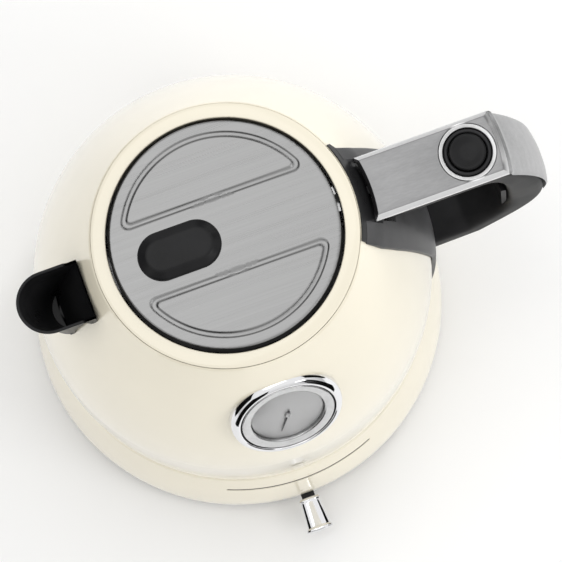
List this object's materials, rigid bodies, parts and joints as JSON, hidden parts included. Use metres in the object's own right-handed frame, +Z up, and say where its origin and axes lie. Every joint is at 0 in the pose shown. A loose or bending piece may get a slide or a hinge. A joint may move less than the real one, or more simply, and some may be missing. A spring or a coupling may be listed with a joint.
{
  "type": "electric kettle",
  "caption": "Domed enamelled electric kettle on a power base, with a hinged steel lid, a spout, a looped handle with a release button, a temperature gauge and a temperature lever.",
  "frame": {"origin": "centre of the flat boss under the power base, on the surface that the kettle stands on", "axes": "+Z up, +X from the spout towards the handle, -Y towards the gauge and the lever"},
  "size_m": [0.281, 0.2365, 0.2245],
  "materials": {
    "enamel": "gloss",
    "brushed_lid": "brushed",
    "inner_steel": "satin",
    "chrome": "polished",
    "aluminium": "satin",
    "black_plastic": "satin",
    "soft_grip": "matte",
    "rubber": "matte",
    "fasteners": "satin",
    "dial_face": "satin",
    "needle_paint": "matte",
    "lens": "clear",
    "circuit_board": "matte"
  },
  "bodies": {
    "root": {"base_skirt": "enamel", "scale_line": "black_plastic", "base_bottom": "black_plastic", "base_deck": "black_plastic", "base_connector": "black_plastic", "cord_gland": "rubber", "control_board": "circuit_board", "foot_1": "rubber", "foot_2": "rubber", "foot_3": "rubber", "foot_4": "rubber", "base_screw_1": "fasteners", "base_screw_2": "fasteners", "base_screw_3": "fasteners"},
    "lever": {"lever_arm": "black_plastic", "lever_neck": "black_plastic", "lever_knob": "chrome"},
    "coupler": {"jug_connector": "black_plastic"},
    "jug": {"outer_shell": "enamel", "neck_ring": "enamel", "inner_vessel": "inner_steel", "heater_plate": "inner_steel", "jug_base_cover": "black_plastic", "spout": "black_plastic", "gauge_bezel": "chrome", "gauge_housing": "black_plastic", "gauge_ring": "aluminium", "gauge_dial": "dial_face", "gauge_lens": "lens", "handle_frame": "soft_grip", "handle_plate": "aluminium", "handle_skin": "aluminium", "handle_root": "black_plastic", "saddle": "black_plastic", "grip_pad": "soft_grip", "button_dish": "aluminium", "button_ring": "chrome", "button_spring": "fasteners", "hinge_pin": "fasteners", "hinge_bracket": "fasteners"},
    "filter": {"limescale_filter": "inner_steel"},
    "needle": {"gauge_needle": "needle_paint"},
    "button": {"release_button": "black_plastic"},
    "catch": {"release_rod": "fasteners"},
    "lid": {"lid_plate": "brushed_lid", "lid_liner": "black_plastic", "lid_gasket": "rubber", "press_pad": "black_plastic"}
  },
  "joints": [
    {"name": "lever_swing", "type": "hinge", "parent": "root", "child": "lever", "pos_m": [0, 0, 0.013], "axis": [0, 0, 1], "range_deg": [-19.5, 19.5]},
    {"name": "jug_lift", "type": "slide", "parent": "root", "child": "coupler", "axis": [0, 0, 1], "range_m": [0, 0.06]},
    {"name": "jug_turn", "type": "hinge", "parent": "coupler", "child": "jug", "pos_m": [0, 0, 0.051], "axis": [0, 0, 1], "continuous": true},
    {"name": "lid_hinge", "type": "hinge", "parent": "jug", "child": "lid", "pos_m": [0.052, 0, 0.217], "axis": [0, 1, 0], "range_deg": [0, 60]},
    {"name": "button_press", "type": "slide", "parent": "jug", "child": "button", "axis": [0, 0, -1], "range_m": [0, 0.003], "stiffness_N_per_m": 500, "deforming": ["button_spring"]},
    {"name": "catch_slide", "type": "slide", "parent": "jug", "child": "catch", "axis": [1, 0, 0], "range_m": [0, 0.003]},
    {"name": "needle_turn", "type": "hinge", "parent": "jug", "child": "needle", "pos_m": [0, -0.0892, 0.1712], "axis": [0, 0.9063, -0.4226], "range_deg": [0, 270]},
    {"name": "filter_slide", "type": "slide", "parent": "jug", "child": "filter", "axis": [1, 0, 0], "range_m": [0, 0.015]}
  ],
  "couplings": [
    {"joint": "catch_slide", "follows": "button_press", "ratio": 1}
  ]
}
